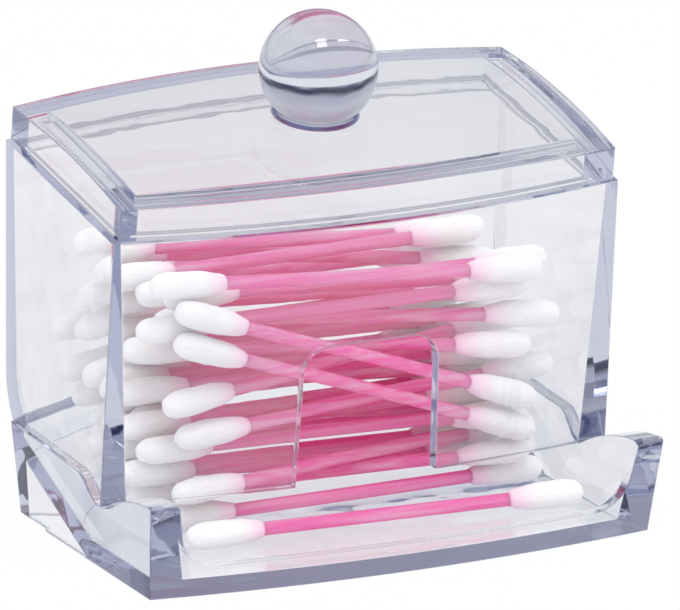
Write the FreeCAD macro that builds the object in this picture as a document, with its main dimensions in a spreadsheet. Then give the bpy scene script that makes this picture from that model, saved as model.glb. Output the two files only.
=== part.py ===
"""Cotton swab holder: a clear moulded box on a tray base, with a lift-off lid and ball knob.

All lengths are millimetres and all angles degrees. +Z is up, the tray is at the front (-Y),
and the underside of the base lies in z = 0. The holder is modelled with y = 0 at the middle
of the lid, then moved along Y so that the origin is the middle of its footprint.
"""
import FreeCAD, Part
import Sketcher
import math
import os
import re

from FreeCAD import Placement, Rotation, Vector

os.makedirs("parts", exist_ok=True)
doc = FreeCAD.newDocument("CottonSwabHolder")

# ---------------------------------------------------------------- driving dimensions
SIZES = {
    # clear box, measured outside; y is taken at the middle of the bowed walls
    "swab_side_room": 11.5,
    "rim_inset": 0.4,
    "rim_sample_z": 60.0,
    "front_seam_y": -21.8,
    "front_lean": 6.2,
    "back_y": 28.4,
    "bow_radius": 252.0,
    "front_edge_z": 11.8,
    "back_round": 14.5,
    # box walls
    "side_wall_rim": 2.1,
    "side_wall_seam": 5.2,
    "front_wall": 2.5,
    "back_wall": 2.5,
    # finger notch in the front wall
    "notch_half_width": 13.0,
    "notch_flare": 1.0,
    "notch_height": 25.7,
    "notch_round": 5.0,
    # seam between the box and the base, front to back
    "seam_back_z": 17.5,
    "seam_slope": 2.5,
    "seam_step_inset": 14.5,
    "seam_step_run": 8.7,
    "seam_round": 6.0,
    "seam_upper_run": 0.36,
    "seam_upper_fall": 0.3,
    "seam_lower_run": 0.68,
    "seam_lower_rise": 0.22,
    # base
    "base_ledge": 0.5,
    "base_side_draw": 1.4,
    "base_height": 18.0,
    "back_overhang": 3.1,
    "base_back_draw": 1.5,
    "tray_depth": 18.0,
    "base_front_lean": 11.6,
    "base_bow_radius": 290.0,
    "end_wall_start_inset": 3.5,
    "end_wall_top_inset": 1.8,
    "end_wall_top_z": 17.6,
    "end_wall_round": 45.0,
    "end_wall_tip_slope": 17.0,
    # tray and floor
    "end_wall": 5.2,
    "tray_draft": 9.3,
    "tray_floor_z": 3.2,
    "tray_rail_z": 5.4,
    "tray_rail_wall": 2.4,
    "tray_mouth_round": 7.0,
    "floor_slope": 24.0,
    "floor_back_inset": 9.4,
    "floor_back_z": 15.0,
    "floor_thickness": 3.0,
    "skirt_wall": 2.5,
    "rear_relief_reach": 19.7,
    "rear_relief": 0.6,
    # lid, in its own frame: z = 0 at the corners of its rim
    "lid_tilt": 9.07,
    "lid_height": 70.32,
    "lid_side_setback": 0.85,
    "lid_setback": 0.2,
    "lid_rim_height": 5.9,
    "lid_crown": 1.4,
    "lid_corner": 0.6,
    "lid_plate": 2.0,
    "lid_border_side": 5.3,
    "lid_border_front": 6.6,
    "lid_border_back": 5.0,
    "ridge_depth": 1.6,
    "ridge_wall": 1.7,
    "ridge_clearance": 0.6,
    "lid_seat_gap": 0.3,
    # ball knob
    "knob_radius": 10.5,
    "knob_rise": 8.55,
    "collar_radius": 7.7,
    "collar_chamfer": 0.4,
    "knob_seat": 0.3,
    "knob_seat_clearance": 0.05,
    # cotton swabs
    "swab_length": 75.0,
    "stick_radius": 1.2,
    "bud_radius": 2.5,
    "bud_tip_radius": 2.0,
    "bud_length": 14.5,
    "bud_tail": 4.5,
    "stick_inset": 2.0,
    "bore_clearance": 0.05,
    "swab_clearance": 0.1,
    "swab_end_room": 0.8,
    "heap_headroom": 19.2,
    "tray_swab_x": 2.5,
    "tray_swab_forward": 2.6,
    "tray_swab_yaw": -3.1,
    "heap_yaw": 9.0,
    "heap_shift": 4.0,
    # swabs that lie aslant along the front wall, measured down from the top of the notch
    "upper_aslant_drop": 4.0,
    "upper_aslant_pitch": -20.0,
    "lower_aslant_drop": 10.0,
    "lower_aslant_pitch": -20.0,
    # how far blocks and cutting outlines reach past what they shape
    "beyond": 15.0,
    "ring_depth": 90.0,
    "ring_angle": 34.0,
    "dome_angle": 8.0,
}
# sizes that follow from the driving ones, written as formulas under names of their own
FOLLOWING = {
    "seam_half_width": "swab_length / 2 + swab_side_room",
    "rim_half_width": "swab_length / 2 + swab_side_room - rim_inset",
    "base_top_half_width": "seam_half_width + base_ledge",
    "base_foot_half_width": "base_top_half_width - base_side_draw",
    "tray_half_width": "base_top_half_width - end_wall",
    "base_back_top_y": "back_y - back_overhang",
    "base_back_foot_y": "base_back_top_y - base_back_draw",
    "base_front_foot_y": "front_seam_y - tray_depth",
    "end_wall_start_y": "front_seam_y + end_wall_start_inset",
    "end_wall_top_y": "base_front_foot_y + end_wall_top_inset",
    "seam_step_y": "front_seam_y + seam_step_inset",
    "floor_back_y": "back_y - floor_back_inset",
    "rear_relief_y": "back_y - rear_relief_reach",
    "back_round_z": "front_edge_z + back_round",
    "notch_top_z": "front_edge_z + notch_height",
    "heap_top_z": "lid_height - heap_headroom",
    "tray_swab_y": "front_seam_y - tray_swab_forward",
}
HEAP_LAYERS = 9

sheet = doc.addObject("Spreadsheet::Sheet", "Sizes")
for line, (alias, value) in enumerate(SIZES.items(), start=1):
    sheet.set("A%d" % line, alias)
    sheet.set("B%d" % line, str(value))
    sheet.setAlias("B%d" % line, alias)
doc.recompute()


# ---------------------------------------------------------------- modelling helpers
def formula(text):
    """The expression with each size written as a reference to the sheet."""
    def refer(match):
        word = match.group(0)
        if word in FOLLOWING:
            return "(%s)" % formula(FOLLOWING[word])
        return "Sizes." + word if word in SIZES else word
    return re.sub(r"[a-z_]+", refer, str(text))


def value(text):
    """The number that a formula gives at the present sizes."""
    return float(sheet.evalExpression(formula(text)))


def bind(item, **links):
    """Tie properties of an object to the sheet; a double underscore stands for a dot."""
    for name, text in links.items():
        item.setExpression(name.replace("__", "."), formula(text))


def new_body(name):
    return doc.addObject("PartDesign::Body", name)


def outline(body, plane, path, height="0"):
    """A closed sketch on one of the body's origin planes, each corner and arc dimensioned.

    path lists (x, y) or (x, y, radius): a radius bends the edge that leaves the corner, to the
    right of the way travelled where it is positive and to the left where it is negative.
    """
    sketch = body.newObject("Sketcher::SketchObject", body.Name + "_sketch")
    origin = [item for item in body.Origin.OriginFeatures if item.Role == plane][0]
    sketch.AttachmentSupport = (origin, [""])
    sketch.MapMode = "FlatFace"
    bind(sketch, AttachmentOffset__Base__z=height)
    corners = [Vector(value(step[0]), value(step[1]), 0) for step in path]
    starts, ends = [], []
    for index, step in enumerate(path):
        first, last = corners[index], corners[(index + 1) % len(path)]
        if len(step) == 2:
            sketch.addGeometry(Part.LineSegment(first, last))
            starts.append((index, 1))
            ends.append((index, 2))
            continue
        radius = value(step[2])
        chord = last - first
        rightward = Vector(chord.y, -chord.x, 0).normalize()
        sagitta = abs(radius) - math.sqrt(radius ** 2 - (chord.Length / 2) ** 2)
        middle = (first + last) / 2 + rightward * math.copysign(sagitta, radius)
        sketch.addGeometry(Part.Arc(first, middle, last))
        starts.append((index, 1 if radius > 0 else 2))
        ends.append((index, 2 if radius > 0 else 1))
    for index, step in enumerate(path):
        following = (index + 1) % len(path)
        sketch.addConstraint(Sketcher.Constraint("Coincident", *ends[index], *starts[following]))
        for kind, text, number in (("DistanceX", step[0], corners[index].x),
                                   ("DistanceY", step[1], corners[index].y)):
            place = sketch.addConstraint(Sketcher.Constraint(kind, -1, 1, *starts[index], number))
            sketch.setExpression("Constraints[%d]" % place, formula(text))
        if len(step) == 3:
            bend = Sketcher.Constraint("Radius", index, abs(value(step[2])))
            place = sketch.addConstraint(bend)
            sketch.setExpression("Constraints[%d]" % place, "abs(%s)" % formula(step[2]))
    return sketch


def pad(body, sketch, length, taper="0", symmetric=False, downward=False):
    feature = body.newObject("PartDesign::Pad", body.Name + "_pad")
    feature.Profile = sketch
    feature.SideType = "Symmetric" if symmetric else "One side"
    feature.Reversed = downward
    bind(feature, Length=length, TaperAngle=taper)
    return feature


def loft(body, sections):
    feature = body.newObject("PartDesign::AdditiveLoft", body.Name + "_loft")
    feature.Profile = sections[0]
    feature.Sections = sections[1:]
    feature.Ruled = True
    return feature


def revolution(body, sketch, axis, angle="360", symmetric=False):
    feature = body.newObject("PartDesign::Revolution", body.Name + "_revolution")
    feature.Profile = sketch
    feature.ReferenceAxis = (sketch, [axis])
    feature.Midplane = symmetric
    bind(feature, Angle=angle)
    return feature


def side_slab(name, path, half_width="rim_half_width + beyond"):
    """A slab with a side-view outline (y, z), symmetric about x = 0."""
    body = new_body(name)
    pad(body, outline(body, "YZ_Plane", path), "2 * (%s)" % half_width, symmetric=True)
    return body


def combine(kind, name, *shapes):
    """A Part boolean: Cut takes Base and Tool, the others take a list."""
    result = doc.addObject("Part::" + kind, name)
    if kind == "Cut":
        result.Base, result.Tool = shapes
    else:
        result.Shapes = list(shapes)
    return result


def sagitta(half_width, radius):
    """How far a bowed wall falls back from its middle to its corner."""
    return "(%s - sqrt((%s)^2 - (%s)^2))" % (radius, radius, half_width)


def plan(half_width, front, back, front_radius="bow_radius", back_radius="bow_radius"):
    """Plan outline with straight sides and a bowed front and back, counterclockwise.

    front and back are taken at the middle of the bowed walls.
    """
    front_corner = "%s + %s" % (front, sagitta(half_width, front_radius))
    back_corner = "%s - %s" % (back, sagitta(half_width, back_radius))
    return [
        ("-(%s)" % half_width, front_corner, front_radius),
        (half_width, front_corner),
        (half_width, back_corner, back_radius),
        ("-(%s)" % half_width, back_corner),
    ]


def edges_where(shape, test, upright):
    """Names of the edges whose every sampled point passes the test."""
    found = []
    for index, edge in enumerate(shape.Edges, start=1):
        points = edge.discretize(5)
        rise = abs(points[-1].z - points[0].z)
        if upright and rise < 0.9 * edge.Length:
            continue
        if all(test(point) for point in points):
            found.append("Edge%d" % index)
    return found


def round_edges(body, base, radius, test, upright=False):
    """A PartDesign fillet on the edges of the base feature that pass the test."""
    doc.recompute()
    names = edges_where(base.Shape, test, upright)
    feature = body.newObject("PartDesign::Fillet", body.Name + "_fillet")
    feature.Base = (base, names)
    bind(feature, Radius=radius)
    return feature


def near(number, target, reach=0.05):
    return abs(number - target) < reach


# ---------------------------------------------------------------- clear box
def share_at(height):
    """How far a height lies from the front edge towards the rim, as a share."""
    return "(%s - front_edge_z) / (rim_sample_z - front_edge_z)" % height


def front_at(height):
    """Outside of the box's front wall at a height."""
    return "front_seam_y - (%s - front_edge_z) * tan(front_lean)" % height


def half_width_at(height):
    """Outside half width of the box at a height."""
    return "seam_half_width + (rim_half_width - seam_half_width) * " + share_at(height)


def side_wall_at(height):
    return "side_wall_seam + (side_wall_rim - side_wall_seam) * " + share_at(height)


BLOCK_FOOT = "(front_edge_z - beyond)"
BLOCK_TOP = "(lid_height + beyond)"


def box_block(name, side_walls, front_wall, back_wall):
    """Tapered block with the box's plan, shrunk by its walls, its back curving in below."""
    walls = new_body(name + "_walls")
    sections = []
    for height in (BLOCK_FOOT, BLOCK_TOP):
        side_wall = side_wall_at(height) if side_walls else "0"
        path = plan("%s - (%s)" % (half_width_at(height), side_wall),
                    "%s + %s" % (front_at(height), front_wall), "back_y - " + back_wall,
                    "(bow_radius - %s)" % front_wall, "(bow_radius - %s)" % back_wall)
        sections.append(outline(walls, "XY_Plane", path, height))
    loft(walls, sections)
    back = new_body(name + "_back")
    reach = "bow_radius - " + back_wall
    round_radius = "(back_round - %s)" % back_wall
    back_path = [
        (reach + " - ring_depth", BLOCK_FOOT + " - beyond"),
        ("%s - %s" % (reach, round_radius), BLOCK_FOOT + " - beyond"),
        ("%s - %s" % (reach, round_radius), "back_round_z - " + round_radius, round_radius),
        (reach, "back_round_z"),
        (reach, BLOCK_TOP + " + beyond"),
        (reach + " - ring_depth", BLOCK_TOP + " + beyond"),
    ]
    revolution(back, outline(back, "YZ_Plane", back_path), "V_Axis", "ring_angle",
               symmetric=True)
    bind(back, Placement__Base__y="back_y - bow_radius")
    return combine("MultiCommon", name, walls, back)


def seam_path():
    """Side view of the seam from the back to the front wall, as path steps."""
    step_y = "seam_step_y"
    step_z = "seam_back_z - (base_back_top_y - seam_step_y) * tan(seam_slope)"
    fall = "(%s - front_edge_z)" % step_z
    return [
        ("back_y + beyond", "seam_back_z + (back_y + beyond - base_back_top_y) * tan(seam_slope)"),
        (step_y, step_z, "seam_round"),
        ("%s - seam_step_run * seam_upper_run" % step_y, "%s - %s * seam_upper_fall" % (step_z, fall)),
        ("%s - seam_step_run * seam_lower_run" % step_y,
         "front_edge_z + %s * seam_lower_rise" % fall, "-seam_round"),
        ("%s - seam_step_run" % step_y, "front_edge_z"),
    ]


def rim_plane_z(y):
    """Height of the plane that the box's rim lies in."""
    drop = "(lid_rim_height + lid_seat_gap) / cos(lid_tilt)"
    return "lid_height + (%s) * tan(lid_tilt) - %s" % (y, drop)


outer_block = box_block("box_outside", False, "0", "0")
inner_block = box_block("box_inside", True, "front_wall", "back_wall")
trim_path = seam_path() + [
    ("base_front_foot_y - beyond", "front_edge_z"),
    ("base_front_foot_y - beyond", rim_plane_z("base_front_foot_y - beyond")),
    ("back_y + beyond", rim_plane_z("back_y + beyond")),
]
box_side_view = side_slab("box_side_view", trim_path)
notch = new_body("notch")
notch_path = [
    ("-notch_half_width - notch_flare", "front_edge_z - beyond"),
    ("-notch_half_width", "notch_top_z - notch_round", "-notch_round"),
    ("-notch_half_width + notch_round", "notch_top_z"),
    ("notch_half_width - notch_round", "notch_top_z", "-notch_round"),
    ("notch_half_width", "notch_top_z - notch_round"),
    ("notch_half_width + notch_flare", "front_edge_z - beyond"),
]
pad(notch, outline(notch, "XZ_Plane", notch_path), "beyond - base_front_foot_y")
box_walls = combine("Cut", "box_walls", outer_block, inner_block)
box_trimmed = combine("MultiCommon", "box_trimmed", box_walls, box_side_view)
box_shell = combine("Cut", "box_shell", box_trimmed, notch)


# ---------------------------------------------------------------- base with its tray
base_block = new_body("base_outside")
base_sections = []
for section_z, half_width, back in (("0", "base_foot_half_width", "base_back_foot_y"),
                                    ("base_height", "base_top_half_width", "base_back_top_y")):
    front = "base_front_foot_y - %s * tan(base_front_lean)" % section_z
    path = plan(half_width, front, back, "base_bow_radius")
    base_sections.append(outline(base_block, "XY_Plane", path, section_z))
loft(base_block, base_sections)

end_wall_tip_run = "(end_wall_top_y - base_front_foot_y + beyond)"
end_wall_tip_z = "end_wall_top_z - %s * tan(end_wall_tip_slope)" % end_wall_tip_run
base_top_path = [
    ("back_y + beyond", "-beyond"),
] + seam_path() + [
    ("end_wall_start_y", "front_edge_z", "end_wall_round"),
    ("end_wall_top_y", "end_wall_top_z"),
    ("base_front_foot_y - beyond", end_wall_tip_z),
    ("base_front_foot_y - beyond", "-beyond"),
]
base_side_view = side_slab("base_side_view", base_top_path)


def floor_z(y):
    """Top of the sloping floor."""
    return "floor_back_z + ((%s) - floor_back_y) * tan(floor_slope)" % y


tray_space = new_body("tray_space")
tray_front = "base_front_foot_y + tray_rail_wall - tray_rail_z * tan(base_front_lean)"
tray_lean = "(base_height - tray_rail_z) * tan(tray_draft)"
tray_plan = plan("tray_half_width", "%s - %s" % (tray_front, tray_lean),
                 "base_back_top_y - skirt_wall", "base_bow_radius")
pad(tray_space, outline(tray_space, "XY_Plane", tray_plan, "base_height"),
    "base_height", taper="-tray_draft", downward=True)
mouth_plan = [
    ("-(tray_half_width)", "base_front_foot_y - beyond"),
    ("tray_half_width", "base_front_foot_y - beyond"),
    ("tray_half_width", "front_seam_y"),
    ("-(tray_half_width)", "front_seam_y"),
]
tray_mouth = new_body("tray_mouth")
mouth_pad = pad(tray_mouth, outline(tray_mouth, "XY_Plane", mouth_plan, "base_height"),
                "base_height - tray_rail_z", taper="-tray_draft", downward=True)
mouth_half_width = value("tray_half_width - (base_height - tray_rail_z) * tan(tray_draft)")
round_edges(tray_mouth, mouth_pad, "tray_mouth_round",
            lambda point: near(point.z, value("tray_rail_z")) and
            near(abs(point.x), mouth_half_width))
floor_path = [
    ("back_y + beyond", floor_z("back_y + beyond")),
    ("back_y + beyond", "-beyond"),
    ("base_front_foot_y - 2 * beyond", "-beyond"),
    ("base_front_foot_y - 2 * beyond", "tray_floor_z"),
    ("floor_back_y - (floor_back_z - tray_floor_z) / tan(floor_slope)", "tray_floor_z"),
]
floor_cut = tray_space.newObject("PartDesign::Pocket", "floor_cut")
floor_cut.Profile = outline(tray_space, "YZ_Plane", floor_path)
floor_cut.SideType = "Symmetric"
floor_cut.Type = "ThroughAll"

underside = new_body("underside_space")
under_plan = plan("base_foot_half_width - skirt_wall", "front_seam_y",
                  "base_back_foot_y - skirt_wall")
pad(underside, outline(underside, "XY_Plane", under_plan, "-beyond"), "base_height + beyond")


def under_z(y):
    """Underside of the sloping floor."""
    return floor_z(y) + " - floor_thickness / cos(floor_slope)"


above_floor_path = [
    ("back_y + beyond", under_z("back_y + beyond")),
    ("back_y + beyond", "base_height + 2 * beyond"),
    ("base_front_foot_y", "base_height + 2 * beyond"),
    ("base_front_foot_y", under_z("base_front_foot_y")),
]
ceiling_cut = underside.newObject("PartDesign::Pocket", "ceiling_cut")
ceiling_cut.Profile = outline(underside, "YZ_Plane", above_floor_path)
ceiling_cut.SideType = "Symmetric"
ceiling_cut.Type = "ThroughAll"

relief = side_slab("rear_relief", [
    ("rear_relief_y", "-beyond"),
    ("back_y + beyond", "-beyond"),
    ("back_y + beyond", "rear_relief"),
    ("rear_relief_y", "rear_relief"),
])
base_trimmed = combine("MultiCommon", "base_trimmed", base_block, base_side_view)
base_spaces = combine("MultiFuse", "base_spaces", tray_space, tray_mouth, underside, relief)
base_tray = combine("Cut", "base_tray", base_trimmed, base_spaces)


# ---------------------------------------------------------------- lid, in its own tilted frame
def in_lid(y):
    """Lid-frame y of a point of the box's rim plane."""
    return "(((%s) - (lid_rim_height + lid_seat_gap) * sin(lid_tilt)) / cos(lid_tilt))" % y


rim_middle_z = "(%s)" % rim_plane_z("0")
rim_front_y = "((%s) / (1 + tan(lid_tilt) * tan(front_lean)))" % front_at(rim_middle_z)
rim_half_width = "(%s)" % half_width_at(rim_middle_z)
ridge_foot_z = "(%s + %s * tan(lid_tilt) - ridge_depth)" % (rim_middle_z, rim_front_y)
lid_half_width = "(%s - lid_side_setback)" % rim_half_width
lid_front = "(%s + lid_setback)" % in_lid(rim_front_y)
lid_back = "(%s - lid_setback)" % in_lid("back_y")
lid_half_depth = "((%s - %s) / 2 - %s)" % (lid_back, lid_front,
                                           sagitta(lid_half_width, "bow_radius"))
lid_middle = "((%s + %s) / 2)" % (lid_front, lid_back)
lid_top = "(2 * lid_crown)"
lid_block = new_body("lid_outside")
lid_pad = pad(lid_block,
              outline(lid_block, "XY_Plane", plan(lid_half_width, lid_front, lid_back),
                      "-lid_rim_height"),
              "lid_rim_height + %s + beyond" % lid_top)
round_edges(lid_block, lid_pad, "lid_corner",
            lambda point: near(abs(point.x), value(lid_half_width)), upright=True)


def dome(name, drop):
    """All that lies under a shallow dome: a ring that curves gently along X, more along Y."""
    body = new_body(name)
    along_x = "(%s^2 / (2 * lid_crown))" % lid_half_width
    along_y = "(%s^2 / (2 * lid_crown))" % lid_half_depth
    reach = "(%s + beyond)" % lid_half_depth
    edge = "(%s - %s)" % (along_x, sagitta(reach, along_y))
    path = [
        (along_x + " - 2 * beyond", "-" + reach),
        (edge, "-" + reach, along_y),
        (edge, reach),
        (along_x + " - 2 * beyond", reach),
    ]
    revolution(body, outline(body, "XY_Plane", path), "V_Axis", "dome_angle", symmetric=True)
    body.Placement.Rotation = Rotation(Vector(0, 1, 0), -90)
    bind(body, Placement__Base__y=lid_middle,
         Placement__Base__z="%s - (%s) - %s" % (lid_top, drop, along_x))
    return body


hollow_block = new_body("hollow_outline")
hollow_plan = plan(lid_half_width + " - lid_border_side", lid_front + " + lid_border_front",
                   lid_back + " - lid_border_back")
pad(hollow_block, outline(hollow_block, "XY_Plane", hollow_plan, "-lid_rim_height - beyond"),
    "lid_rim_height + %s + beyond" % lid_top)
hollow = combine("MultiCommon", "hollow_under_plate", hollow_block, dome("hollow_dome", "lid_plate"))


def ridge_block(name, inset):
    """Block under the lid that fits inside the box's rim; inset is its distance from the walls."""
    body = new_body(name)
    lean = "ridge_depth * tan(lid_tilt)"
    path = plan("(%s - (%s) - %s)" % (rim_half_width, side_wall_at(ridge_foot_z), inset),
                "%s + %s" % (in_lid(rim_front_y + " + front_wall"), inset),
                "%s - %s - %s" % (in_lid("back_y - back_wall"), lean, inset),
                "(bow_radius - front_wall)", "(bow_radius - back_wall)")
    pad(body, outline(body, "XY_Plane", path, "-lid_rim_height"), "ridge_depth", downward=True)
    return body


ridge = combine("Cut", "ridge", ridge_block("ridge_outside", "ridge_clearance"),
                ridge_block("ridge_inside", "(ridge_clearance + ridge_wall)"))
lid_plate_and_rim = combine("MultiCommon", "lid_plate_and_rim", lid_block, dome("lid_dome", "0"))
lid_with_ridge = combine("MultiFuse", "lid_with_ridge", lid_plate_and_rim, ridge)
seat = doc.addObject("Part::Cylinder", "knob_seat_space")
bind(seat, Radius="collar_radius + knob_seat_clearance", Height="knob_seat + beyond",
     Placement__Base__y=lid_middle, Placement__Base__z=lid_top + " - knob_seat")
lid_spaces = combine("MultiFuse", "lid_spaces", hollow, seat)
lid = combine("Cut", "lid", lid_with_ridge, lid_spaces)


# ---------------------------------------------------------------- ball knob
knob = new_body("lid_knob")
ball_z = "(%s + knob_rise)" % lid_top
collar_top_radius = "(collar_radius - collar_chamfer)"
collar_top_z = "(%s - sqrt(knob_radius^2 - %s^2))" % (ball_z, collar_top_radius)
knob_path = [
    ("0", lid_top + " - knob_seat"),
    ("collar_radius", lid_top + " - knob_seat"),
    ("collar_radius", collar_top_z + " - collar_chamfer"),
    (collar_top_radius, collar_top_z, "knob_radius"),
    ("0", ball_z + " + knob_radius"),
]
revolution(knob, outline(knob, "XZ_Plane", knob_path), "V_Axis")
tilt_axis = Rotation(Vector(1, 0, 0), 1)
lid.Placement.Rotation = tilt_axis
bind(lid, Placement__Base__z="lid_height", Placement__Rotation__Angle="lid_tilt")
knob.Placement.Rotation = tilt_axis
bind(knob, Placement__Base__y=lid_middle + " * cos(lid_tilt)",
     Placement__Base__z="lid_height + %s * sin(lid_tilt)" % lid_middle,
     Placement__Rotation__Angle="lid_tilt")


# ---------------------------------------------------------------- one cotton swab, along X
stick_blank = doc.addObject("Part::Cylinder", "stick_blank")
bind(stick_blank, Radius="stick_radius", Height="swab_length - 2 * stick_inset",
     Placement__Base__x="stick_inset - swab_length / 2")
stick_blank.Placement.Rotation = Rotation(Vector(0, 1, 0), 90)

bud_blank = new_body("bud_blank")
bud_end = "swab_length / 2"
bud_start = "(%s - bud_length)" % bud_end
bore_radius = "(stick_radius + bore_clearance)"
bore_end = "(%s - stick_inset + bore_clearance)" % bud_end
bud_path = [
    (bud_start, bore_radius),
    (bud_start + " + bud_tail", "bud_radius"),
    (bud_end + " - bud_tip_radius * 1.6", "bud_radius"),
    (bud_end + " - bud_tip_radius * 0.55", "bud_tip_radius * 0.85"),
    (bud_end, "bud_tip_radius * 0.25"),
    (bud_end, "0"),
    (bore_end, "0"),
    (bore_end, bore_radius),
]
revolution(bud_blank, outline(bud_blank, "XY_Plane", list(reversed(bud_path))), "H_Axis")


# ---------------------------------------------------------------- heap of swabs in the box
NUMBERS = {name: value(name) for name in list(SIZES) + list(FOLLOWING)}
GOLDEN_TURN = math.radians(137.5)
PITCHES = [math.radians(angle) for angle in (-4, -1.5, 0, 1.5, 4)]
SIDE_STEPS = 14
ROLLS = (1.0, -1.0, 0.6, -0.6, 0.4, -0.4, 0.2, -0.2)
SCAN_STEP = 1.2
FIT_STEPS = 5
MISSES_TO_STOP = 10
STEP_BACK = 0.2
ASLANT = ("upper_aslant", "lower_aslant")


def fall_back(half_width, radius):
    return radius - math.sqrt(radius ** 2 - half_width ** 2)


def floor_under(y, radius):
    """Lowest height of a round thing of this radius on the tray floor and the slope."""
    n = NUMBERS
    slope = math.radians(n["floor_slope"])
    on_slope = n["floor_back_z"] + (y - n["floor_back_y"]) * math.tan(slope)
    lowest = max(n["tray_floor_z"] + radius, on_slope + radius / math.cos(slope))
    return lowest + n["swab_clearance"]


def front_limit(x, z, radius):
    """Nearest that a round thing comes to the inside of the front wall."""
    n = NUMBERS
    wall = n["front_seam_y"] - (z - n["front_edge_z"]) * math.tan(math.radians(n["front_lean"]))
    bow = fall_back(x, n["bow_radius"] - n["front_wall"])
    return wall + n["front_wall"] + bow + radius + n["swab_clearance"]


def back_limit(x, z, radius):
    """Nearest that a round thing comes to the inside of the back wall and its rounding."""
    n = NUMBERS
    depth = max(n["back_round_z"] - z, 0)
    reach = n["back_round"] - n["back_wall"] - radius
    inward = reach - math.sqrt(max(reach ** 2 - depth ** 2, 0))
    bow = fall_back(x, n["bow_radius"] - n["back_wall"])
    return n["back_y"] - n["back_wall"] - bow - radius - inward - n["swab_clearance"]


def side_limit(z):
    """Half width inside the box at a height, less the room at a swab's tip."""
    n = NUMBERS
    share = (z - n["front_edge_z"]) / (n["rim_sample_z"] - n["front_edge_z"])
    outside = n["seam_half_width"] + (n["rim_half_width"] - n["seam_half_width"]) * share
    wall = n["side_wall_seam"] + (n["side_wall_rim"] - n["side_wall_seam"]) * share
    return outside - wall - n["swab_end_room"]


def capsules(middle, yaw, pitch):
    """A swab's stick and two buds, each as the start and run of its axis and its radius."""
    n = NUMBERS
    axis = (math.cos(yaw) * math.cos(pitch), math.sin(yaw) * math.cos(pitch), math.sin(pitch))
    half = n["swab_length"] / 2
    inner, outer = half - n["bud_length"] + n["bud_tail"] / 2, half - n["bud_radius"]
    spans = ((-half + n["stick_inset"], half - n["stick_inset"], n["stick_radius"]),
             (inner, outer, n["bud_radius"]),
             (-outer, -inner, n["bud_radius"]))
    made = []
    for low, high, radius in spans:
        start = tuple(middle[k] + axis[k] * low for k in range(3))
        run = tuple(axis[k] * (high - low) for k in range(3))
        made.append((start, run, radius))
    return made


def clamp(number):
    return min(1.0, max(0.0, number))


def gap_squared(first, second):
    """Square of the distance between the axes of two capsules."""
    (px, py, pz), (ux, uy, uz), _ = first
    (qx, qy, qz), (vx, vy, vz), _ = second
    rx, ry, rz = px - qx, py - qy, pz - qz
    uu, vv = ux * ux + uy * uy + uz * uz, vx * vx + vy * vy + vz * vz
    uv = ux * vx + uy * vy + uz * vz
    ur, vr = ux * rx + uy * ry + uz * rz, vx * rx + vy * ry + vz * rz
    spread = uu * vv - uv * uv
    along = clamp((uv * vr - ur * vv) / spread) if spread > 1e-9 else 0.5
    across = clamp((uv * along + vr) / vv)
    along = clamp((uv * across - ur) / uu)
    dx, dy = rx + ux * along - vx * across, ry + uy * along - vy * across
    dz = rz + uz * along - vz * across
    return dx * dx + dy * dy + dz * dz


def clears_walls(swab):
    for start, run, radius in swab[1:]:
        for share in (0, 1):
            x, y, z = (start[k] + run[k] * share for k in range(3))
            if abs(x) + radius > side_limit(z) or z < floor_under(y, radius):
                return False
            if not front_limit(x, z, radius) <= y <= back_limit(x, z, radius):
                return False
    return True


def clears_heap(swab, heap):
    room = NUMBERS["swab_clearance"]
    for other in heap:
        for first in swab:
            for second in other:
                reach = first[2] + second[2] + room
                if gap_squared(first, second) < reach * reach:
                    return False
    return True


def neighbours(swab, heap):
    """The swabs of the heap whose y range comes near this one's."""
    def side_range(item):
        ends = [item[0][0][1], item[0][0][1] + item[0][1][1]]
        return min(ends) - NUMBERS["bud_radius"], max(ends) + NUMBERS["bud_radius"]
    low, high = side_range(swab)
    return [other for other in heap if side_range(other)[0] < high and side_range(other)[1] > low]


def rest_height(x, y, yaw, pitch, heap, ceiling):
    """Lowest clear height of a swab under the ceiling, or None; found upwards, then by halving."""
    near_by = neighbours(capsules((x, y, ceiling), yaw, pitch), heap)

    def clears(z):
        swab = capsules((x, y, z), yaw, pitch)
        return clears_walls(swab) and clears_heap(swab, near_by)

    high = floor_under(y, NUMBERS["bud_radius"])
    while not clears(high):
        high += SCAN_STEP
        if high > ceiling:
            return None
    low = high - SCAN_STEP
    for _ in range(FIT_STEPS):
        middle = (low + high) / 2
        if clears(middle):
            high = middle
        else:
            low = middle
    return high


def lay_aslant(drop, pitch, heap):
    """Place of a swab aslant, as near the front wall as it can lie, or None if it has no room."""
    n = NUMBERS
    reach = n["swab_length"] / 2 - n["bud_radius"]
    side, rise = reach * math.cos(pitch), reach * math.sin(pitch)
    z = n["notch_top_z"] - drop
    if z + abs(rise) + n["bud_radius"] > n["heap_top_z"]:
        return None
    left = front_limit(-side, z - rise, n["bud_radius"])
    right = front_limit(side, z + rise, n["bud_radius"])
    y, yaw = (left + right) / 2, math.atan((right - left) / (2 * side))
    while y < back_limit(0, z, n["bud_radius"]):
        swab = capsules((0, y, z), yaw, pitch)
        if clears_walls(swab) and clears_heap(swab, heap):
            return 0, y, z, yaw, pitch
        y += STEP_BACK
    return None


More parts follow.
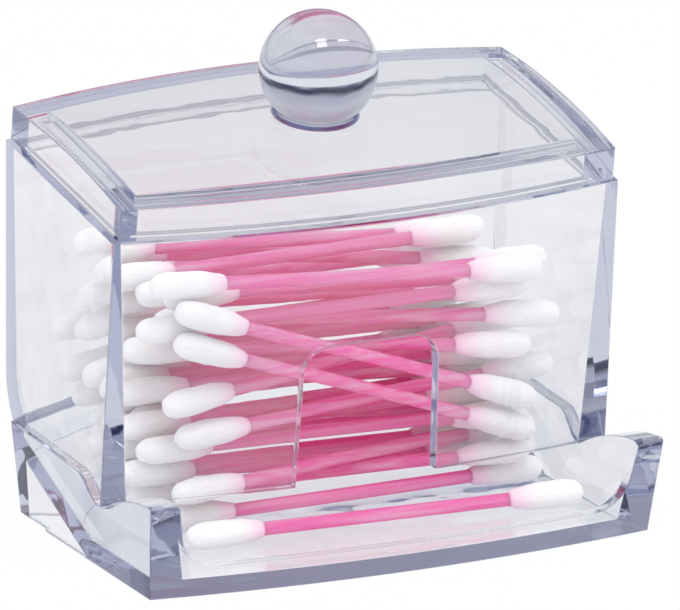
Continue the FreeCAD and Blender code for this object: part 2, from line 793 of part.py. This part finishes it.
def settle_heap():
    """Swabs laid one by one, each at the lowest place that its turn and shift allow."""
    n = NUMBERS
    ceiling = n["heap_top_z"] - n["bud_radius"]
    front = front_limit(0, ceiling, n["bud_radius"])
    back = back_limit(0, ceiling, n["bud_radius"])
    heap, places, misses, turn = [], [], 0, 0
    for kind in ASLANT:
        place = lay_aslant(n[kind + "_drop"], math.radians(n[kind + "_pitch"]), heap)
        if place:
            heap.append(capsules(place[:3], *place[3:]))
            places.append(place)
        print(kind, "at y %.2f, z %.2f" % place[1:3] if place else "has no room")
    while misses < MISSES_TO_STOP:
        turn += 1
        yaw = math.radians(n["heap_yaw"]) * math.sin(GOLDEN_TURN * turn) ** 5 / (1 + misses)
        x = n["heap_shift"] * math.cos(GOLDEN_TURN * turn * 3)
        best = None

        def consider(y, pitches):
            nonlocal best
            for pitch in pitches:
                z = rest_height(x, y, yaw, pitch, heap, best[0] - 0.01 if best else ceiling)
                if z is not None:
                    best = (z, y, pitch)

        for step in range(SIDE_STEPS):
            consider(front + (back - front) * (step + 0.5) / SIDE_STEPS, PITCHES)
        for roll in ROLLS if best else ():
            _, y, pitch = best
            consider(y + roll, (pitch - abs(roll) / 60, pitch, pitch + abs(roll) / 60))
        if best is None:
            misses += 1
            continue
        z, y, pitch = best
        heap.append(capsules((x, y, z), yaw, pitch))
        places.append((x, y, z, yaw, pitch))
    return places


def swab_placement(x, y, z, yaw, pitch):
    return Placement(Vector(x, y, z), Rotation(math.degrees(yaw), -math.degrees(pitch), 0))


def swab_group(name, places):
    """Two nodes, the sticks and the buds of some swabs, as groups of separate solids."""
    sticks, buds = [], []
    half_turn = Placement(Vector(), Rotation(Vector(0, 0, 1), 180))
    for place in places:
        stick = stick_blank.Shape.copy()
        stick.Placement = place.multiply(stick_blank.Placement)
        sticks.append(stick)
        for end in (Placement(), half_turn):
            bud = bud_blank.Shape.copy()
            bud.Placement = place.multiply(end)
            buds.append(bud)
    nodes = []
    for suffix, solids in (("_sticks", sticks), ("_buds", buds)):
        node = doc.addObject("Part::Feature", name + suffix)
        node.Shape = Part.makeCompound(solids)
        nodes.append(node)
    return nodes


tray_place = swab_placement(value("tray_swab_x"), value("tray_swab_y"),
                            value("tray_floor_z + bud_radius") + value("bore_clearance"),
                            math.radians(value("tray_swab_yaw")), 0)
doc.recompute()
heap_places = sorted(settle_heap(), key=lambda place: place[2])
parts = [box_shell, base_tray, lid, knob] + swab_group("tray_swab", [tray_place])
for layer in range(HEAP_LAYERS):
    first = len(heap_places) * layer // HEAP_LAYERS
    last = len(heap_places) * (layer + 1) // HEAP_LAYERS
    places = [swab_placement(*place) for place in heap_places[first:last]]
    parts += swab_group("swabs_layer_%d" % (layer + 1), places)


# ---------------------------------------------------------------- origin, checks and export
doc.recompute()
front_y = min(part.Shape.optimalBoundingBox(False, False).YMin for part in parts)
back_y = max(part.Shape.optimalBoundingBox(False, False).YMax for part in parts)
shift = Vector(0, -(front_y + back_y) / 2, 0)
for item in doc.Objects:
    if "Invalid" in item.State or "Error" in item.State:
        raise RuntimeError("%s failed: %s" % (item.Name, item.State))
print("moved along Y by %.4f mm, %d swabs in the heap" % (shift.y, len(heap_places)))
for part in parts:
    part.Label = part.Name
    shape = part.Shape.copy()
    if shape.isNull() or not shape.isValid():
        raise RuntimeError(part.Label + " is not a valid shape")
    shape.translate(shift)
    shape.exportStep("parts/%s.step" % part.Label)
    box = shape.optimalBoundingBox(False, False)
    print("%-20s %3d solids  volume %9.1f  x %.2f..%.2f  y %.2f..%.2f  z %.2f..%.2f" % (
        part.Label, len(shape.Solids), shape.Volume,
        box.XMin, box.XMax, box.YMin, box.YMax, box.ZMin, box.ZMax))
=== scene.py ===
# %% [markdown]
# A clear box for cotton swabs, with an open tray in front and a lid with a ball knob. Four
# polished mouldings of clear polystyrene hold a heap of swabs with pink sticks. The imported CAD
# model is the fixed frame of this scene, so every place and size below is read from it.

# %% Load the frame
import math
import random

import bpy
from mathutils import Matrix, Vector


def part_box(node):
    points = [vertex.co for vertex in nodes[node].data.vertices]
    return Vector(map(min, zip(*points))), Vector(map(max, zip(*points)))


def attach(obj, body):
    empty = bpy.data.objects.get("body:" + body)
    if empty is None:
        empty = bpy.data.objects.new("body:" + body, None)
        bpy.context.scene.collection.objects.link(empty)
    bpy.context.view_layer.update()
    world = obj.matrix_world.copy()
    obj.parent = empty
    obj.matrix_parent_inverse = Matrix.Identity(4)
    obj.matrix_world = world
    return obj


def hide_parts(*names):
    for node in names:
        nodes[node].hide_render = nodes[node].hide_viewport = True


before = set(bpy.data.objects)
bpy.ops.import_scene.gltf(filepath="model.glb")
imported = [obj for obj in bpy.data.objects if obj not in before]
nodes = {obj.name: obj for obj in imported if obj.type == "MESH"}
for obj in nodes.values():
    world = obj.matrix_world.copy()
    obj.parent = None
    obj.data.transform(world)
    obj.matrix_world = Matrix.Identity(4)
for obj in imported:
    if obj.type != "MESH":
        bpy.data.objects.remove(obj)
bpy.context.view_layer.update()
MM = 0.001

# %% [markdown]
# The camera comes first. It is a long lens, far away, a little above the lid and to the left
# of the tray, because a long lens keeps the mouldings' edges nearly parallel.

# %% Camera
VIEW_AZIMUTH = math.radians(-25.29)
VIEW_ELEVATION = math.radians(16.13)
VIEW_DISTANCE = 2169.6 * MM
VIEW_TARGET = Vector((5.14, 6.25, 37.18)) * MM
LENS = 651.6
SENSOR = 36.0


def add_camera():
    """A camera at the view's angles, aimed at the target."""
    flat = math.cos(VIEW_ELEVATION)
    away = Vector((math.sin(VIEW_AZIMUTH) * flat, -math.cos(VIEW_AZIMUTH) * flat,
                   math.sin(VIEW_ELEVATION)))
    data = bpy.data.cameras.new("camera")
    data.lens = LENS
    data.sensor_width = SENSOR
    camera = bpy.data.objects.new("camera", data)
    camera.location = VIEW_TARGET + away * VIEW_DISTANCE
    camera.rotation_euler = away.to_track_quat("Z", "Y").to_euler()
    bpy.context.scene.collection.objects.link(camera)
    bpy.context.scene.camera = camera
    return camera


camera = add_camera()
bpy.context.scene.view_settings.view_transform = "Standard"
print("camera at", [round(c, 3) for c in camera.location])


# %% [markdown]
# Two helpers serve every material: one turns an sRGB hex value into the linear colour that a
# shader wants, and one adds a node with its settings and links.

# %% Material helpers
def linear(code):
    """The linear colour of an sRGB hex value, with alpha 1."""
    channels = [int(code[k:k + 2], 16) / 255 for k in (0, 2, 4)]
    return tuple(c / 12.92 if c <= 0.04045 else ((c + 0.055) / 1.055) ** 2.4
                 for c in channels) + (1.0,)


def new_tree(name):
    """A material with an empty node tree."""
    material = bpy.data.materials.new(name)
    material.use_nodes = True
    material.node_tree.nodes.clear()
    return material, material.node_tree


def node(tree, kind, settings=None, links=None):
    """Add a node, set its properties and input values, and link its inputs."""
    made = tree.nodes.new(kind)
    for key, value in (settings or {}).items():
        if isinstance(key, int) or key in made.inputs:
            made.inputs[key].default_value = value
        else:
            setattr(made, key, value)
    for key, source in (links or {}).items():
        tree.links.new(source, made.inputs[key])
    return made


def coat_with(piece, material):
    piece.data.materials.clear()
    piece.data.materials.append(material)


# %% [markdown]
# Crystal polystyrene is injection moulded in a polished steel mould. It is as clear as glass
# and bends light a little more, with an IOR near 1.58. A thin wall looks colourless, and a
# long way through it looks lilac, which a volume absorption gives. A steel mould leaves no
# quite sharp edge, so the shading rounds each edge a little, and its faces are slightly wavy
# where the melt shrank as it cooled.
#
# Lamps must reach the swabs inside, so shadow and diffuse rays take a transparent way through
# the walls. A ray that is caught in an edge would end black at the renderer's limit. So after
# a few reflections or crossings it goes straight out, and a painted shade dims it at each wall,
# which darkens the edges.

# %% Clear polystyrene
POLYSTYRENE_IOR = 1.58
EDGE_RADIUS_MM = 0.4
EDGE_SAMPLES = 6
FLOW_MM = 9.0            # length of the waves in a face
FLOW_HEIGHT_MM = 0.06
TINT = "868EC4"          # what is left of white light after a long way through the plastic
TINT_DENSITY = 13.0      # per metre, so that 2 mm of wall takes off only a few percent
OPEN_SHADE = "FDFDFE"    # what each wall leaves of a lamp's light
# painted shade: each wall dims a ray that goes straight out, which darkens the edges
EDGE_SHADE = "E2E5EE"    # what each wall leaves of a ray that goes straight out
MOST_REFLECTIONS = 3.5   # more reflections than this, and a ray goes straight out
MOST_CROSSINGS = 8.5     # the same for walls crossed and reflections together


def clear_polystyrene():
    material, tree = new_tree("polystyrene_clear_moulded")
    place = node(tree, "ShaderNodeTexCoord")
    flow = node(tree, "ShaderNodeTexNoise", {"Scale": 1 / (FLOW_MM * MM), "Detail": 1.0},
                {"Vector": place.outputs["Object"]})
    rounded = node(tree, "ShaderNodeBevel", {
        "samples": EDGE_SAMPLES, "Radius": EDGE_RADIUS_MM * MM})
    waves = node(tree, "ShaderNodeBump", {"Strength": 1.0, "Distance": FLOW_HEIGHT_MM * MM},
                 {"Height": flow.outputs["Fac"], "Normal": rounded.outputs[0]})
    plastic = node(tree, "ShaderNodeBsdfPrincipled", {
        "Base Color": linear("FFFFFF"), "Roughness": 0.0, "IOR": POLYSTYRENE_IOR,
        "Transmission Weight": 1.0}, {"Normal": waves.outputs[0]})
    open_way = node(tree, "ShaderNodeBsdfTransparent", {"Color": linear(OPEN_SHADE)})
    light_path = node(tree, "ShaderNodeLightPath")
    # painted shade: rays caught in an edge leave through this, dimmed at each wall
    edge_shade_way = node(tree, "ShaderNodeBsdfTransparent", {"Color": linear(EDGE_SHADE)})
    many_turns = node(tree, "ShaderNodeMath", {"operation": "GREATER_THAN", 1: MOST_REFLECTIONS},
                      {0: light_path.outputs["Glossy Depth"]})
    long_way = node(tree, "ShaderNodeMath", {"operation": "GREATER_THAN", 1: MOST_CROSSINGS},
                    {0: light_path.outputs["Ray Depth"]})
    caught = node(tree, "ShaderNodeMath", {"operation": "MAXIMUM"},
                  {0: many_turns.outputs[0], 1: long_way.outputs[0]})
    seen = node(tree, "ShaderNodeMixShader", None, {
        0: caught.outputs[0], 1: plastic.outputs[0], 2: edge_shade_way.outputs[0]})
    lit = node(tree, "ShaderNodeMixShader", None, {
        0: light_path.outputs["Is Diffuse Ray"], 1: seen.outputs[0], 2: open_way.outputs[0]})
    mix = node(tree, "ShaderNodeMixShader", None, {
        0: light_path.outputs["Is Shadow Ray"], 1: lit.outputs[0], 2: open_way.outputs[0]})
    depth = node(tree, "ShaderNodeVolumeAbsorption", {
        "Color": linear(TINT), "Density": TINT_DENSITY})
    node(tree, "ShaderNodeOutputMaterial", None, {
        "Surface": mix.outputs[0], "Volume": depth.outputs[0]})
    return material


clear = clear_polystyrene()


# %% [markdown]
# The sticks are extruded from pink polypropylene, which is milky: light goes some way in and
# comes out pinker, so a heap of sticks glows deep pink between them. Subsurface scattering and
# a share of plain translucency give both. Long faint streaks of paler pink along each stick are
# painted highlights.

# %% Pink polypropylene
# painted highlight: the paler pink of the streaks along the sticks
STICK_PAINTED_HIGHLIGHT = "FFCCE6"
STICK_DEEP = "FF96CC"
STREAK_MM = 0.9
STREAK_LENGTH_MM = 40.0
STREAK_EDGES = (0.35, 0.65)   # noise values where the deep and the pale pink begin
DEEP_PINK = "FF72C4"          # what comes through a stick from behind
GLOW_SHARE = 0.45
POLYPROPYLENE_IOR = 1.49


def pink_polypropylene():
    material, tree = new_tree("polypropylene_pink_extruded")
    place = node(tree, "ShaderNodeTexCoord")
    along = node(tree, "ShaderNodeMapping", {"Scale": (STREAK_MM / STREAK_LENGTH_MM, 1.0, 1.0)},
                 {"Vector": place.outputs["Object"]})
    # painted highlights: noise stretched along the stick gives streaks of paler pink
    streaks = node(tree, "ShaderNodeTexNoise", {"Scale": 1 / (STREAK_MM * MM), "Detail": 1.0},
                   {"Vector": along.outputs[0]})
    tone = node(tree, "ShaderNodeValToRGB", None, {0: streaks.outputs["Fac"]})
    for stop, edge, colour in zip(tone.color_ramp.elements, STREAK_EDGES,
                                  (STICK_DEEP, STICK_PAINTED_HIGHLIGHT)):
        stop.position, stop.color = edge, linear(colour)
    plastic = node(tree, "ShaderNodeBsdfPrincipled", {
        "Roughness": 0.2, "IOR": POLYPROPYLENE_IOR,
        "Subsurface Weight": 0.9, "Subsurface Scale": 0.003,
        "Subsurface Radius": (1.0, 0.45, 0.7)}, {"Base Color": tone.outputs[0]})
    glow = node(tree, "ShaderNodeBsdfTranslucent", {"Color": linear(DEEP_PINK)})
    mix = node(tree, "ShaderNodeMixShader", {0: GLOW_SHARE},
               {1: plastic.outputs[0], 2: glow.outputs[0]})
    node(tree, "ShaderNodeOutputMaterial", None, {"Surface": mix.outputs[0]})
    return material


# %% [markdown]
# The buds are cotton fibre wound on the stick's end. The fibres run mostly along the swab and
# lift off a little, so the surface is matt with a soft sheen, and a fine noise stretched along
# the swab is its bump. Real fibres are about 0.02 mm thick, which is too fine to show, so the
# noise is drawn at tufts of a few tenths of a millimetre.

# %% Wound cotton
TUFT_MM = 0.5
TUFT_HEIGHT_MM = 0.2
ALONG_STRETCH = 0.3       # the tufts are about three times as long as they are wide
# painted shade: the cotton is darker in the hollows of the noise that bumps it
COTTON_HOLLOW_SHADE, COTTON_TUFT = "E2E1E0", "F3F2F1"
THIN_COTTON = "F6C6DC"    # the stick shows pink through the thin end of the cotton


def wound_cotton():
    material, tree = new_tree("cotton_wound")
    place = node(tree, "ShaderNodeTexCoord")
    along = node(tree, "ShaderNodeMapping", {"Scale": (ALONG_STRETCH, 1.0, 1.0)},
                 {"Vector": place.outputs["Object"]})
    tufts = node(tree, "ShaderNodeTexNoise", {
        "Scale": 1 / (TUFT_MM * MM), "Detail": 3.0, "Roughness": 0.6},
        {"Vector": along.outputs[0]})
    bump = node(tree, "ShaderNodeBump", {"Strength": 0.9, "Distance": TUFT_HEIGHT_MM * MM},
                {"Height": tufts.outputs["Fac"]})
    # painted shade: the bump's noise also darkens the colour in its hollows
    shade = node(tree, "ShaderNodeValToRGB", None, {0: tufts.outputs["Fac"]})
    shade.color_ramp.elements[0].color = linear(COTTON_HOLLOW_SHADE)
    shade.color_ramp.elements[1].color = linear(COTTON_TUFT)
    tail = node(tree, "ShaderNodeAttribute", {"attribute_name": "tail"})
    thin = node(tree, "ShaderNodeMix", {"data_type": "RGBA"},
                {0: tail.outputs["Fac"], 6: shade.outputs[0]})
    thin.inputs[7].default_value = linear(THIN_COTTON)
    cotton = node(tree, "ShaderNodeBsdfPrincipled", {
        "Roughness": 0.95, "Sheen Weight": 0.4, "Sheen Roughness": 0.5,
        "Subsurface Weight": 1.0, "Subsurface Scale": 0.004,
        "Subsurface Radius": (1.0, 0.95, 0.9)},
        {"Base Color": thin.outputs[2], "Normal": bump.outputs[0]})
    node(tree, "ShaderNodeOutputMaterial", None, {"Surface": cotton.outputs[0]})
    return material


pink, cotton = pink_polypropylene(), wound_cotton()
print("materials:", [m.name for m in (clear, pink, cotton)])


# %% [markdown]
# Each moulding is a copy of its CAD mesh. The copy's points are merged, so that its faces share
# their edges and the shading can round them, and it is drawn in by a hundredth of a
# millimetre, so that two mouldings that touch keep a skin of air between them.

# %% Mouldings
MERGE = 0.002 * MM        # points nearer than this are one point
SKIN_GAP = 0.012 * MM     # keeps two mouldings that touch from sharing one surface
EDGE_ANGLE = math.radians(32)     # sharper than this, two faces meet in an edge


def only(piece):
    """Select one object and make it active."""
    bpy.ops.object.select_all(action="DESELECT")
    piece.select_set(True)
    bpy.context.view_layer.objects.active = piece


def moulding(cad_name, name):
    """A moulding of clear plastic, made from a copy of its CAD node's mesh."""
    piece = bpy.data.objects.new(name, nodes[cad_name].data.copy())
    bpy.context.scene.collection.objects.link(piece)
    only(piece)
    bpy.ops.object.mode_set(mode="EDIT")
    bpy.ops.mesh.select_all(action="SELECT")
    bpy.ops.mesh.remove_doubles(threshold=MERGE)
    bpy.ops.transform.shrink_fatten(value=-SKIN_GAP)
    bpy.ops.object.mode_set(mode="OBJECT")
    bpy.ops.mesh.customdata_custom_splitnormals_clear()
    bpy.ops.object.shade_smooth_by_angle(angle=EDGE_ANGLE)
    coat_with(piece, clear)
    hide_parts(cad_name)
    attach(piece, "lid" if cad_name.startswith("lid") else "holder")
    print(name, len(piece.data.polygons), "faces")
    return piece


moulding("box_shell", "box_moulding")
moulding("base_tray", "base_moulding")
moulding("lid", "lid_moulding")


# %% [markdown]
# The knob is a solid ball on a low collar. A ball is a strong lens, so its mesh has to be
# finer than the CAD's. It is drawn up ring by ring from a circle, as on a lathe: each ring is
# an extrusion of the last one, scaled to the next radius. The same helper turns a swab's bud.

# %% Ball knob
def turned(name, profile, sides):
    """A solid of revolution about Z: a disc extruded from ring to ring of (height, radius)."""
    (height, radius), rest = profile[0], profile[1:]
    bpy.ops.object.select_all(action="DESELECT")
    bpy.ops.mesh.primitive_circle_add(vertices=sides, radius=radius, fill_type="NGON",
                                      location=(0, 0, height))
    piece = bpy.context.object
    piece.name = name
    bpy.ops.object.transform_apply(location=True, rotation=False, scale=False)
    bpy.ops.object.mode_set(mode="EDIT")
    bpy.ops.mesh.select_all(action="SELECT")
    for next_height, next_radius in rest:
        bpy.ops.mesh.extrude_region_move(
            TRANSFORM_OT_translate={"value": (0, 0, next_height - height)})
        share = next_radius / radius
        bpy.ops.transform.resize(value=(share, share, 1))
        height, radius = next_height, next_radius
    bpy.ops.mesh.select_all(action="SELECT")
    bpy.ops.mesh.normals_make_consistent(inside=False)
    bpy.ops.object.mode_set(mode="OBJECT")
    return piece


LID_TILT = math.radians(9.07)
KNOB_SIDES = 96
BALL_RINGS = 56
COLLAR_ROUND = 0.4 * MM   # of the groove where the ball meets its collar
ROUND_STEPS = 4
knob_low, knob_high = (Vector(corner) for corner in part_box("lid_knob"))
ball_radius = (knob_high.x - knob_low.x) / 2
ball_centre = Vector((0, (knob_low.y + knob_high.y) / 2, knob_high.z - ball_radius))
COLLAR_RADIUS = 7.7 * MM
COLLAR_FOOT = 8.85 * MM   # below the ball's centre
FOOT_CHAMFER = COLLAR_ROUND / 3


def ball_knob():
    """The collar's foot and side, the groove over it, then the ball up to its top."""
    meet = COLLAR_RADIUS - COLLAR_ROUND
    meet_depth = math.sqrt(ball_radius ** 2 - meet ** 2)
    foot = -COLLAR_FOOT + 2 * SKIN_GAP
    profile = [(foot, COLLAR_RADIUS - FOOT_CHAMFER), (foot + FOOT_CHAMFER, COLLAR_RADIUS)]
    for step in range(ROUND_STEPS + 1):
        turn = math.pi / 2 * step / ROUND_STEPS
        profile.append((-meet_depth - COLLAR_ROUND + COLLAR_ROUND * math.sin(turn),
                        meet + COLLAR_ROUND * math.cos(turn)))
    first = -math.asin(meet_depth / ball_radius)
    for step in range(1, BALL_RINGS):
        angle = first + (math.pi / 2 - first) * step / BALL_RINGS
        profile.append((ball_radius * math.sin(angle), ball_radius * math.cos(angle)))
    piece = turned("ball_knob", profile, KNOB_SIDES)
    piece.data.transform(Matrix.Translation(ball_centre) @ Matrix.Rotation(LID_TILT, 4, "X"))
    only(piece)
    bpy.ops.object.shade_smooth_by_angle(angle=EDGE_ANGLE)
    coat_with(piece, clear)
    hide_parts("lid_knob")
    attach(piece, "lid")
    return piece


knob = ball_knob()
print("ball of radius", round(ball_radius / MM, 2), "mm,", len(knob.data.polygons), "faces")


# %% [markdown]
# Each swab's stick is a straight CAD cylinder, so its two ends can be read from its mesh: the
# farthest pair of points gives its direction, and the mean of each half of its points is an
# end. The sticks keep their CAD meshes, and get the pink plastic.

# %% Sticks
def loose_parts(mesh_object):
    """The points of each separate solid of a node's mesh."""
    copy = bpy.data.objects.new("parts", mesh_object.data.copy())
    bpy.context.scene.collection.objects.link(copy)
    only(copy)
    bpy.ops.object.mode_set(mode="EDIT")
    bpy.ops.mesh.select_all(action="SELECT")
    bpy.ops.mesh.remove_doubles(threshold=MERGE)
    bpy.ops.mesh.separate(type="LOOSE")
    bpy.ops.object.mode_set(mode="OBJECT")
    pieces = list(bpy.context.selected_objects)
    points = [[vertex.co.copy() for vertex in piece.data.vertices] for piece in pieces]
    for piece in pieces:
        bpy.data.objects.remove(piece)
    return points


def stick_ends(points):
    """The middles of a straight stick's two ends."""
    first = max(points, key=lambda point: (point - points[0]).length)
    last = max(points, key=lambda point: (point - first).length)
    run = (last - first).normalized()
    middle = (first + last) / 2
    halves = [[p for p in points if (p - middle).dot(run) * side > 0] for side in (1, -1)]
    return [sum(half, Vector()) / len(half) for half in halves]


sticks = {}
for name in sorted(nodes):
    if name.endswith("_sticks"):
        sticks[name] = [stick_ends(points) for points in loose_parts(nodes[name])]
        coat_with(nodes[name], pink)
print("sticks:", sum(len(ends) for ends in sticks.values()))


# %% [markdown]
# A bud is turned once to the shape of wound cotton: thin at its tail on the stick, fullest
# near the end, and round at the tip. Subdivision and a little noise make it lumpy. Four such
# buds, each pushed by another part of the noise, are copied to the ends of all the sticks.

# %% Cotton buds
BUD_LENGTH = 14.5 * MM
BUD_RADIUS = 2.5 * MM
STICK_INSET = 2.0 * MM    # from a stick's end to the bud's tip
BUD_SIDES = 14
BUD_KINDS = 4
LUMP_SIZE = 2.2 * MM
LUMP_HEIGHT = 0.35 * MM
KIND_SPACING = 5 * LUMP_SIZE  # each kind is pushed by another part of the noise
TAIL_FADE = 5.0 * MM      # how far the stick shows through from the tail
BUD_PROFILE = [           # share of the length from the tail, share of the full radius
    (0.0, 0.50), (0.04, 0.62), (0.14, 0.80), (0.28, 0.93), (0.45, 1.0), (0.65, 1.03),
    (0.8, 1.0), (0.9, 0.86), (0.96, 0.62), (0.99, 0.32),
]


def add_modifier(piece, kind, **settings):
    """Add a modifier with its settings and apply it."""
    only(piece)
    modifier = piece.modifiers.new(kind.lower(), kind)
    for key, value in settings.items():
        setattr(modifier, key, value)
    bpy.ops.object.modifier_apply(modifier=modifier.name)


def bud_kind(number):
    """One lumpy bud along Z, with its tip at the origin."""
    profile = [((share - 1) * BUD_LENGTH, radius * BUD_RADIUS) for share, radius in BUD_PROFILE]
    piece = turned("bud_%d" % number, profile, BUD_SIDES)
    add_modifier(piece, "SUBSURF", levels=1, render_levels=1)
    lumps = bpy.data.textures.new("lumps_%d" % number, "CLOUDS")
    lumps.noise_scale = LUMP_SIZE
    aside = Matrix.Translation((0, 0, number * KIND_SPACING))
    piece.data.transform(aside)
    add_modifier(piece, "DISPLACE", texture=lumps, strength=LUMP_HEIGHT, mid_level=0.5,
                 texture_coords="LOCAL")
    piece.data.transform(aside.inverted())
    tail = piece.data.attributes.new("tail", "FLOAT", "POINT")
    for vertex in piece.data.vertices:
        up = (vertex.co.z + BUD_LENGTH) / TAIL_FADE
        tail.data[vertex.index].value = max(0.0, 1.0 - max(up, 0.0))
    only(piece)
    bpy.ops.object.shade_smooth()
    return piece


def place_bud(kind, end, outward, roll):
    """A copy of a bud on a stick's end, turned about its axis by roll."""
    bud = bpy.data.objects.new("bud", kind.data.copy())
    bpy.context.scene.collection.objects.link(bud)
    turn = outward.to_track_quat("Z", "Y").to_matrix().to_4x4()
    tip = end + outward * STICK_INSET
    bud.data.transform(Matrix.Translation(tip) @ turn @ Matrix.Rotation(roll, 4, "Z"))
    return bud


def cotton_for(stick_name, kinds, chance):
    """All the buds of one group of swabs, joined into one piece."""
    buds = []
    for ends in sticks[stick_name]:
        for end, other in (ends, ends[::-1]):
            kind = kinds[chance.randrange(len(kinds))]
            outward = (end - other).normalized()
            buds.append(place_bud(kind, end, outward, chance.uniform(0, 2 * math.pi)))
    bpy.ops.object.select_all(action="DESELECT")
    for bud in buds:
        bud.select_set(True)
    bpy.context.view_layer.objects.active = buds[0]
    bpy.ops.object.join()
    piece = bpy.context.object
    piece.name = stick_name.replace("_sticks", "_cotton")
    coat_with(piece, cotton)
    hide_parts(stick_name.replace("_sticks", "_buds"))
    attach(piece, "holder")
    return piece


chance = random.Random(7)
kinds = [bud_kind(number) for number in range(BUD_KINDS)]
cottons = [cotton_for(name, kinds, chance) for name in sticks]
for kind in kinds:
    bpy.data.objects.remove(kind)
print("cotton pieces:", len(cottons), "faces:", sum(len(c.data.polygons) for c in cottons))


# %% [markdown]
# The floor is plain and pale. The camera sees it as white, and so does what shines or is
# clear, but a little of its real shading is left, so that the holder's soft shadow shows.

# %% Floor
FLOOR_SIZE = 6.0
SHADOW_SHARE = 0.05
FLOOR_PAINT = "EDEDEF"
FLOOR_IN_CLEAR = "F3F4F6"  # the floor's tone in reflections and through the plastic


def add_floor():
    """A wide floor that is white to the camera, with a share of its own shading."""
    bpy.ops.object.select_all(action="DESELECT")
    bpy.ops.mesh.primitive_plane_add(size=FLOOR_SIZE, location=(0, 0, 0))
    floor = bpy.context.object
    floor.name = "floor"
    material, tree = new_tree("floor_paint")
    paint = node(tree, "ShaderNodeBsdfDiffuse", {"Color": linear(FLOOR_PAINT)})
    pale = node(tree, "ShaderNodeEmission", {"Color": linear(FLOOR_IN_CLEAR), "Strength": 1.0})
    white = node(tree, "ShaderNodeEmission", {"Color": linear("FFFFFF"), "Strength": 1.0})
    light_path = node(tree, "ShaderNodeLightPath")
    through = node(tree, "ShaderNodeMath", {"operation": "MAXIMUM"}, {
        0: light_path.outputs["Is Glossy Ray"], 1: light_path.outputs["Is Transmission Ray"]})
    behind = node(tree, "ShaderNodeMixShader", None, {
        0: through.outputs[0], 1: paint.outputs[0], 2: pale.outputs[0]})
    shaded = node(tree, "ShaderNodeMixShader", {0: 1 - SHADOW_SHARE}, {
        1: paint.outputs[0], 2: white.outputs[0]})
    seen = node(tree, "ShaderNodeMixShader", None, {
        0: light_path.outputs["Is Camera Ray"], 1: behind.outputs[0], 2: shaded.outputs[0]})
    node(tree, "ShaderNodeOutputMaterial", None, {"Surface": seen.outputs[0]})
    coat_with(floor, material)


add_floor()
print("floor of", FLOOR_SIZE, "m, with", SHADOW_SHARE, "of its own shading")


# %% [markdown]
# Clear plastic shows mostly what stands round it. The room is plain soft white for matt
# things. What shines or is clear sees a studio in lilac greys, with one dark band that drifts
# up and down a little above the horizon. The band draws the dark edges of the mouldings.

# %% Room and lamps
ROOM_TONES = [            # from the floor's level up to overhead
    (0.04, "C8CAD8"), (0.10, "34365A"), (0.15, "1E2038"), (0.22, "B2B4C4"), (0.45, "C8CAD2"),
    (0.75, "ACAEB8"), (1.0, "C8CAD2"),
]
DRIFT_SCALE = 2.2
DRIFT_HEIGHT = 0.2        # how far the band drifts, as a share of the way up
SOFT_LEVEL = 0.95


def add_room():
    """The world: white to the camera, soft white to matt things, a studio to clear ones."""
    world = bpy.data.worlds.new("room")
    bpy.context.scene.world = world
    world.use_nodes = True
    tree = world.node_tree
    tree.nodes.clear()
    place = node(tree, "ShaderNodeTexCoord")
    drift = node(tree, "ShaderNodeTexNoise", {"Scale": DRIFT_SCALE, "Detail": 1.0},
                 {"Vector": place.outputs["Generated"]})
    split = node(tree, "ShaderNodeSeparateXYZ", None, {0: place.outputs["Generated"]})
    height = node(tree, "ShaderNodeMath", {"operation": "MULTIPLY_ADD", 1: DRIFT_HEIGHT},
                  {0: drift.outputs["Fac"], 2: split.outputs["Z"]})
    tone = node(tree, "ShaderNodeValToRGB", None, {0: height.outputs[0]})
    ramp = tone.color_ramp.elements
    ramp[0].position, ramp[0].color = ROOM_TONES[0][0], linear(ROOM_TONES[0][1])
    ramp[1].position, ramp[1].color = ROOM_TONES[-1][0], linear(ROOM_TONES[-1][1])
    for position, colour in ROOM_TONES[1:-1]:
        ramp.new(position).color = linear(colour)
    studio = node(tree, "ShaderNodeBackground", {"Strength": 1.0}, {"Color": tone.outputs[0]})
    soft = node(tree, "ShaderNodeBackground", {"Color": linear("FFFFFF"), "Strength": SOFT_LEVEL})
    white = node(tree, "ShaderNodeBackground", {"Color": linear("FFFFFF"), "Strength": 1.0})
    light_path = node(tree, "ShaderNodeLightPath")
    clear_ray = node(tree, "ShaderNodeMath", {"operation": "MAXIMUM"}, {
        0: light_path.outputs["Is Glossy Ray"], 1: light_path.outputs["Is Transmission Ray"]})
    lit = node(tree, "ShaderNodeMixShader", None, {
        0: clear_ray.outputs[0], 1: soft.outputs[0], 2: studio.outputs[0]})
    seen = node(tree, "ShaderNodeMixShader", None, {
        0: light_path.outputs["Is Camera Ray"], 1: lit.outputs[0], 2: white.outputs[0]})
    node(tree, "ShaderNodeOutputWorld", None, {"Surface": seen.outputs[0]})


def add_lamp(name, direction, distance, size, radiance, glints):
    """A square soft lamp that faces the middle of the holder."""
    data = bpy.data.lights.new(name, "AREA")
    data.size = size
    data.energy = radiance * math.pi * size ** 2
    lamp = bpy.data.objects.new(name, data)
    away = Vector(direction).normalized()
    lamp.location = VIEW_TARGET + away * distance
    lamp.rotation_euler = away.to_track_quat("Z", "Y").to_euler()
    lamp.visible_transmission = False
    lamp.visible_glossy = glints
    bpy.context.scene.collection.objects.link(lamp)


add_room()
add_lamp("softbox_top", (-0.1, -0.45, 1.0), 1.0, 0.3, 8.0, True)
add_lamp("softbox_left", (-0.8, -0.5, 0.7), 1.2, 0.3, 5.0, False)
add_lamp("softbox_right", (0.75, -0.35, 0.9), 1.2, 0.25, 5.0, False)
